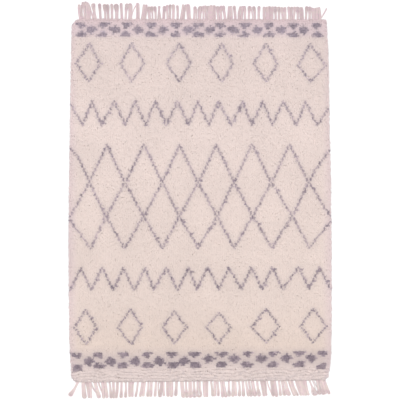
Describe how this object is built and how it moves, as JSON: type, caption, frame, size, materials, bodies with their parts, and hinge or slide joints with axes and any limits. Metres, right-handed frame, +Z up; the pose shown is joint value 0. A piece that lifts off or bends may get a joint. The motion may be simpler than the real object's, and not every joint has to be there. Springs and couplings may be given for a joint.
{
  "type": "beni ourain rug",
  "caption": "Rectangular cream wool pile rug lying flat, with grey knotted lozenges, zigzags and a lattice, small lozenge bands at both ends, and a fringe of looped warp tassels along each end.",
  "frame": {"origin": "the middle of the rug's outline, fringes included, on the surface that the rug lies on", "axes": "+Z up out of the pile, +Y along the rug towards the head end, +X to the right as one looks down on the face with the head end at the top"},
  "size_m": [1.6, 2.41, 0.022],
  "materials": {
    "cream_pile": "matt undyed cream wool, cut pile",
    "grey_pile": "matt mid grey wool, cut pile",
    "ground_weave": "plain close weave of wool warp and weft",
    "fringe": "plied warp yarn, matt, faintly rosy cream"
  },
  "bodies": {
    "root": {"pile_body": "cream_pile", "head_fringe": "fringe", "foot_fringe": "fringe"}
  },
  "joints": []
}
